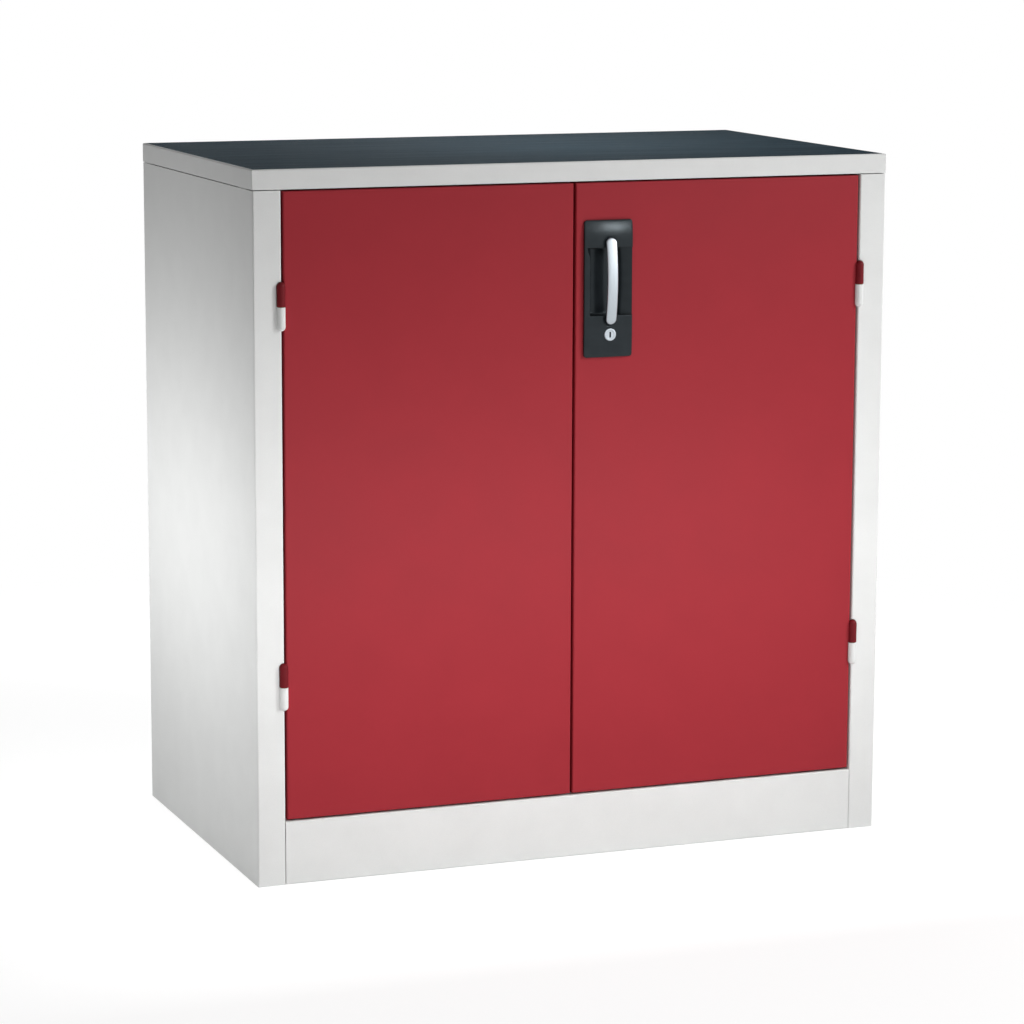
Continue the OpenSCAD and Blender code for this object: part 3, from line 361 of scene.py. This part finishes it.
class PlateForm:
    """The handle plate's front, or the back of its shell when it is grown by the wall."""

    def __init__(self, grow=0):
        low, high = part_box("handle_plate")
        self.left, self.right, self.bottom, self.top = low.x, high.x, low.z, high.z
        self.face = low.y
        self.grow = grow
        self.floor = TROUGH_DEPTH + grow
        self.rim = self.left + TROUGH_RIM - grow
        self.trough_top = self.top - TROUGH_DOWN
        self.trough_bottom = self.trough_top - TROUGH_TALL
        lever_low, lever_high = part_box("lever")
        radius = (lever_high.x - lever_low.x) / 2
        self.pivot_x = lever_low.x + radius
        self.lever_ends = (lever_low.z + radius, lever_high.z - radius)
        self.dish_edge = (radius + DISH_START, radius + DISH_END)

    def ramp(self, x):
        start = self.right - RAMP_WIDE
        slope = (TROUGH_DEPTH - TROUGH_EXIT) / RAMP_WIDE
        return self.floor - slope * max(0, x - start)

    def columns(self):
        """Across the width: place, depth of the outer edge, depth of the trough, share of the sway."""
        edge, lip, cove = quarter(PLATE_EDGE), quarter(TROUGH_LIP), quarter(TROUGH_COVE + self.grow)
        made = [(self.left, PLATE_PROUD, 0, 0)]
        made += [(self.left + inset, depth, 0, 0) for inset, depth in edge]
        made += [(x, 0, 0, RIM_SWAY) for x in spaced(self.left + PLATE_EDGE, self.rim - TROUGH_LIP)]
        made += [(self.rim - inset, 0, depth, 1) for inset, depth in reversed(lip)]
        reach = cove[-1][0]
        made += [(self.rim + inset, 0, self.floor - depth, 1 - inset / reach) for inset, depth in cove]
        start = self.rim + reach
        made += [(x, 0, self.ramp(x), 0) for x in spaced(start, self.right - PLATE_EDGE)]
        for inset, depth in reversed(edge):
            made.append((self.right - inset, depth, self.ramp(self.right - inset), 0))
        made.append((self.right, PLATE_PROUD, 0, 0))
        return made

    def rows(self):
        """Up the height: place, depth of the outer edge, depth that the trough's end walls allow."""
        edge, lip, fillet = quarter(PLATE_EDGE), quarter(TROUGH_LIP), quarter(TROUGH_FILLET)
        low, high = self.trough_bottom - self.grow, self.trough_top + self.grow
        made = [(self.bottom, PLATE_PROUD, 0)]
        made += [(self.bottom + inset, depth, 0) for inset, depth in edge]
        made += [(z, 0, 0) for z in spaced(self.bottom + PLATE_EDGE, low - TROUGH_LIP)]
        made += [(low - inset, 0, depth) for inset, depth in reversed(lip)]
        made += [(low + inset, 0, self.floor - depth) for inset, depth in fillet]
        made += [(z, 0, self.floor) for z in spaced(low + TROUGH_FILLET, high - TROUGH_FILLET)]
        made += [(high - inset, 0, self.floor - depth) for inset, depth in reversed(fillet)]
        made += [(high + inset, 0, depth) for inset, depth in lip]
        made += [(z, 0, 0) for z in spaced(high + TROUGH_LIP, self.top - PLATE_EDGE)]
        made += [(self.top - inset, depth, 0) for inset, depth in reversed(edge)]
        made.append((self.top, PLATE_PROUD, 0))
        return made

    def sway(self, z):
        share = eased(SWAY_FROM, SWAY_TO, self.trough_top - z)
        return SWAY_TOP + (SWAY_LOW - SWAY_TOP) * share

    def roll(self, x, z):
        """How far the face lies behind its crest."""
        up = max(0, z - self.trough_top - ROLL_START) / (TROUGH_DOWN - ROLL_START)
        roll_below = self.trough_bottom - ROLL_START
        down = max(0, roll_below - z) / (roll_below - self.bottom)
        side = (2 * x - self.left - self.right) / (self.right - self.left)
        return TOP_ROLL * up ** 2 + BOTTOM_ROLL * down ** 2 + SIDE_ROLL * side ** 2

    def dish(self, x, z):
        """Depth of the shallow dishes round the lever's ends."""
        reach = min(Vector((x - self.pivot_x, z - end)).length for end in self.lever_ends)
        return DISH_DEPTH * (1 - eased(*self.dish_edge, reach))

    def cornered(self, x, z):
        """Draws the plate's corners in to quarter circles."""
        from_x = min(x - self.left, self.right - x)
        from_z = min(z - self.bottom, self.top - z)
        if from_x >= PLATE_CORNER or from_z >= PLATE_CORNER:
            return x, z
        a, b = 1 - from_x / PLATE_CORNER, 1 - from_z / PLATE_CORNER
        draw_x = PLATE_CORNER * a * (1 - (1 - b * b / 2) ** 0.5)
        draw_z = PLATE_CORNER * b * (1 - (1 - a * a / 2) ** 0.5)
        x += draw_x if x < (self.left + self.right) / 2 else -draw_x
        z += draw_z if z < (self.bottom + self.top) / 2 else -draw_z
        return x, z

    def depth(self, x, z, edge, trough):
        if self.grow or edge == PLATE_PROUD:
            return max(PLATE_PROUD, trough)
        return max(edge, trough, self.dish(x, z)) + self.roll(x, z)

    def grid(self, bm):
        """The rows of vertices of this side of the plate."""
        made = []
        for z, row_edge, allowed in self.rows():
            line = []
            for x, column_edge, trough, share in self.columns():
                x += 0 if self.grow else share * self.sway(z)
                deep = self.depth(x, z, max(row_edge, column_edge), min(trough, allowed))
                flat_x, flat_z = self.cornered(x, z)
                line.append(bm.verts.new((flat_x, self.face + deep, flat_z)))
            made.append(line)
        return made


def moulded_plate():
    """The handle plate as a moulding: rolled face, rounded edges and a finger trough with a soft lip."""
    bm = bmesh.new()
    net(bm, PlateForm().grid(bm))
    net(bm, PlateForm(TROUGH_WALL).grid(bm))
    bmesh.ops.remove_doubles(bm, verts=bm.verts, dist=MERGE)
    bmesh.ops.dissolve_degenerate(bm, edges=bm.edges, dist=MERGE)
    bmesh.ops.recalc_face_normals(bm, faces=bm.faces)
    piece("moulded_handle_plate", bm, "right_door", "handle_plastic", "handle_plate")


def lathe(bm, x, z, profile, closed=False):
    """Turns a profile of (radius, depth) points about an axis square to the doors."""
    rings = []
    turns = [2 * pi * step / ROUND_STEPS for step in range(ROUND_STEPS)]
    for radius, y in profile:
        rings.append([bm.verts.new((x + radius * cos(turn), y, z + radius * sin(turn))) for turn in turns])
    if closed:
        rings.append(rings[0])
    else:
        bm.faces.new(rings[0])
        bm.faces.new(rings[-1])
    net(bm, rings, closed=True)


def rounded_lever():
    """The bow lever, crowned in front, with soft edges and a hub on the spindle."""
    low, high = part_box("lever")
    half = (high.x - low.x) / 2
    x, ends = low.x + half, (low.z + half, high.z - half)
    middle, foot = (low.z + high.z) / 2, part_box("handle_plate")[0].y - LEVER_GAP
    bow_radius = (((high.z - low.z) / 2) ** 2 + LEVER_BOW ** 2) / (2 * LEVER_BOW)
    bow_centre = foot - LEVER_BOW + bow_radius

    def outline(inset):
        """The lever's plan, drawn in by an inset."""
        rise = [ends[0] + (ends[1] - ends[0]) * k / LEVER_STEPS for k in range(1, LEVER_STEPS)]
        turns = [pi * k / (ROUND_STEPS // 2) for k in range(ROUND_STEPS // 2 + 1)]
        reach = half - inset
        points = [(x + reach, z) for z in rise]
        points += [(x + reach * cos(turn), ends[1] + reach * sin(turn)) for turn in turns]
        points += [(x - reach, z) for z in reversed(rise)]
        points += [(x - reach * cos(turn), ends[0] - reach * sin(turn)) for turn in turns]
        return points

    def surface(radius, z):
        return bow_centre - (radius ** 2 - (z - middle) ** 2) ** 0.5

    insets = [half, half / 2] + [inset for inset, _ in reversed(quarter(LEVER_BACK_EDGE))]
    depths = [0, 0] + [-depth for _, depth in reversed(quarter(LEVER_BACK_EDGE))]
    radii = [bow_radius] * len(insets)
    front = quarter(LEVER_FRONT_EDGE) + [(half * share, 0) for share in LEVER_CROWN_AT]
    for inset, depth in front:
        insets.append(inset)
        depths.append(depth + LEVER_CROWN * (1 - inset / half) ** 2)
        radii.append(bow_radius + LEVER_THICK)
    bm = bmesh.new()
    rings = [[bm.verts.new((px, surface(radius, pz) + depth, pz)) for px, pz in outline(inset)]
             for inset, depth, radius in zip(insets, depths, radii)]
    net(bm, rings, closed=True)
    bmesh.ops.remove_doubles(bm, verts=bm.verts, dist=MERGE)
    bmesh.ops.dissolve_degenerate(bm, edges=bm.edges, dist=MERGE)
    hub = half - HUB_IN
    hub_profile = [(hub, foot - LEVER_THICK / 2), (hub, high.y - RIM_EDGE), (hub - RIM_EDGE, high.y)]
    lathe(bm, x, ends[1], hub_profile)
    bmesh.ops.recalc_face_normals(bm, faces=bm.faces)
    piece("rounded_lever", bm, "lever", "bright_metal", "lever")


def turned_lock():
    """The lock barrel with a softly turned rim."""
    low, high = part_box("lock_barrel")
    plug_low, plug_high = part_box("lock_plug")
    rim, bore = (high.x - low.x) / 2, (plug_high.x - plug_low.x) / 2 + PLUG_PLAY
    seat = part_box("handle_plate")[0].y + BARREL_SEAT
    profile = [(bore, high.y), (bore, low.y + RIM_EDGE)]
    profile += [(bore + inset, low.y + depth) for inset, depth in quarter(RIM_EDGE)]
    profile += [(rim - inset, low.y + depth) for inset, depth in reversed(quarter(RIM_EDGE))]
    profile += [(rim, seat), (BARREL_D / 2, seat), (BARREL_D / 2, high.y)]
    bm = bmesh.new()
    lathe(bm, (low.x + high.x) / 2, (low.z + high.z) / 2, profile, closed=True)
    bmesh.ops.remove_doubles(bm, verts=bm.verts, dist=MERGE)
    bmesh.ops.recalc_face_normals(bm, faces=bm.faces)
    piece("turned_lock_barrel", bm, "right_door", "bright_metal", "lock_barrel")


def keyway_shade_insert():
    """A dark insert just inside the keyway, painted shade standing in for the keyway's shadow, parted down
    its middle.
    """
    low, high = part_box("lock_plug")
    x, z = (low.x + high.x) / 2, (low.z + high.z) / 2
    wide, tall = KEYWAY[0] / 2 - KEYWAY_SHADE_PLAY, KEYWAY[1] / 2 - KEYWAY_SHADE_PLAY
    front = low.y + KEYWAY_SHADE_IN
    across = [(-wide, 0), (-KEYWAY_SHADE_PLAY, 0), (0, KEYWAY_SHADE_THICK / 2), (KEYWAY_SHADE_PLAY, 0), (wide, 0)]
    bm = bmesh.new()
    outline = [(x + dx, front + dy) for dx, dy in across]
    outline += [(x + wide, front + KEYWAY_SHADE_THICK), (x - wide, front + KEYWAY_SHADE_THICK)]
    rings = [[bm.verts.new((px, py, z + side * tall)) for px, py in outline] for side in (-1, 1)]
    net(bm, rings, closed=True)
    bm.faces.new(rings[0])
    bm.faces.new(rings[1])
    bmesh.ops.recalc_face_normals(bm, faces=bm.faces)
    piece("keyway_shade_insert", bm, "lock_plug", "handle_plastic")


# Studio
def seen_directly(tree):
    """1 for rays that show the background itself: from the camera, or mirrored or through glass."""
    path = tree.nodes.new("ShaderNodeLightPath")
    total = path.outputs["Is Camera Ray"]
    for name in ("Is Glossy Ray", "Is Transmission Ray"):
        either = tree.nodes.new("ShaderNodeMath")
        either.operation = "MAXIMUM"
        tree.links.new(total, either.inputs[0])
        tree.links.new(path.outputs[name], either.inputs[1])
        total = either.outputs[0]
    return total


def floor():
    """A wide pale floor: white to the eye, with a soft shadow, and without its glow under the cabinet."""
    (left, front, _), (right, back, _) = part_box("left_side_panel")[0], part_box("right_side_panel")[1]
    left, front, right, back = left + FOOT_IN, front + FOOT_IN, right - FOOT_IN, back - FOOT_IN
    bm = bmesh.new()
    reach = FLOOR_SIZE / 2
    corners = ((-reach, -reach), (reach, -reach), (reach, reach), (-reach, reach))
    feet = ((left, front), (right, front), (right, back), (left, back))
    outer = [bm.verts.new((x, y, 0)) for x, y in corners]
    inner = [bm.verts.new((x, y, 0)) for x, y in feet]
    net(bm, [outer, inner], closed=True)
    under = bm.faces.new(inner)
    under.material_index = 1
    mesh = bpy.data.meshes.new("studio_floor")
    bm.to_mesh(mesh)
    bm.free()
    made = bpy.data.objects.new("studio_floor", mesh)
    bpy.context.scene.collection.objects.link(made)
    mesh.materials.append(glowing_floor())
    shaded = Finish("studio_floor_under", roughness=DULL, specular=0.0)
    shaded.shader.inputs["Base Color"].default_value = (FLOOR_ALBEDO,) * 3 + (1.0,)
    mesh.materials.append(shaded.material)


def glowing_floor():
    """White where it is seen, full white away from the cabinet, and a plain floor for its light."""
    finish = Finish("studio_floor", roughness=DULL, specular=0.0)
    finish.shader.inputs["Base Color"].default_value = (FLOOR_ALBEDO,) * 3 + (1.0,)
    radius = finish.add("ShaderNodeVectorMath", Vector=finish.place)
    radius.operation = "LENGTH"
    fade = finish.add("ShaderNodeMapRange", Value=radius.outputs["Value"])
    fade.interpolation_type = "SMOOTHSTEP"
    fade.inputs["From Min"].default_value, fade.inputs["From Max"].default_value = SHADOW_REACH
    glow = finish.add("ShaderNodeEmission", Strength=FLOOR_GLOW)
    shade = finish.add("ShaderNodeBsdfDiffuse", Color=(FLOOR_SHADE,) * 3 + (1.0,))
    near = finish.add("ShaderNodeAddShader")
    far = finish.add("ShaderNodeEmission", Strength=1.0)
    visible = finish.add("ShaderNodeMixShader")
    both = finish.add("ShaderNodeMixShader")
    finish.put(near.inputs[0], glow.outputs[0])
    finish.put(near.inputs[1], shade.outputs[0])
    finish.put(visible.inputs[0], fade.outputs[0])
    finish.put(visible.inputs[1], near.outputs[0])
    finish.put(visible.inputs[2], far.outputs[0])
    finish.put(both.inputs[0], seen_directly(finish.tree))
    finish.put(both.inputs[1], finish.shader.outputs[0])
    finish.put(both.inputs[2], visible.outputs[0])
    output = next(node for node in finish.tree.nodes if node.type == "OUTPUT_MATERIAL")
    finish.put(output.inputs[0], both.outputs[0])
    return finish.material


def sky():
    """An even white world: full white where it is seen, a soft fill for the light on the cabinet."""
    world = bpy.data.worlds.new("studio_sky")
    bpy.context.scene.world = world
    world.use_nodes = True
    tree = world.node_tree
    background = next(node for node in tree.nodes if node.type == "BACKGROUND")
    background.inputs["Color"].default_value = (1.0, 1.0, 1.0, 1.0)
    level = tree.nodes.new("ShaderNodeMapRange")
    level.inputs["To Min"].default_value = SKY_LEVEL
    level.inputs["To Max"].default_value = 1.0
    tree.links.new(seen_directly(tree), level.inputs["Value"])
    tree.links.new(level.outputs[0], background.inputs["Strength"])


def softbox(name, place, facing, width, height, power, kind):
    """A soft rectangular lamp."""
    lamp = bpy.data.lights.new(name, "AREA")
    lamp.shape = "RECTANGLE"
    lamp.size, lamp.size_y, lamp.energy = width, height, power
    made = bpy.data.objects.new(name, lamp)
    bpy.context.scene.collection.objects.link(made)
    made.location = place
    made.rotation_euler = (Vector(facing) - Vector(place)).to_track_quat("-Z", "Y").to_euler()
    made.visible_camera = False
    made.visible_diffuse = kind != "gloss"
    made.visible_glossy = kind != "fill"


def camera():
    """The photograph's viewpoint."""
    lens = bpy.data.cameras.new("camera")
    lens.lens = CAMERA_LENS
    lens.clip_end = 2 * FLOOR_SIZE
    made = bpy.data.objects.new("camera", lens)
    bpy.context.scene.collection.objects.link(made)
    aim = Euler((radians(90 + CAMERA_PITCH), 0, radians(CAMERA_YAW))).to_matrix().to_4x4()
    roll = Matrix.Rotation(radians(CAMERA_ROLL), 4, "Z")
    made.matrix_world = Matrix.Translation(CAMERA_AT) @ aim @ roll
    bpy.context.scene.camera = made


powder_coat("body_paint", srgb(219, 220, 219))
powder_coat("shelf_paint", srgb(210, 212, 211))
powder_coat("door_paint", srgb(150, 42, 50))
# hinge_paint is the door red made darker: partly the knuckles' own colour, partly painted shade of their
# round faces
powder_coat("hinge_paint", srgb(104, 22, 29))
rubber()
handle_plastic()
bright_metal()
zinc_steel()
washer_brass()

ribbed_mat()
moulded_plate()
rounded_lever()
turned_lock()
# painted shade: a dark insert inside the keyway
keyway_shade_insert()

floor()
sky()
for box in SOFTBOXES:
    softbox(*box)
camera()

bpy.context.scene.view_settings.view_transform = "Standard"
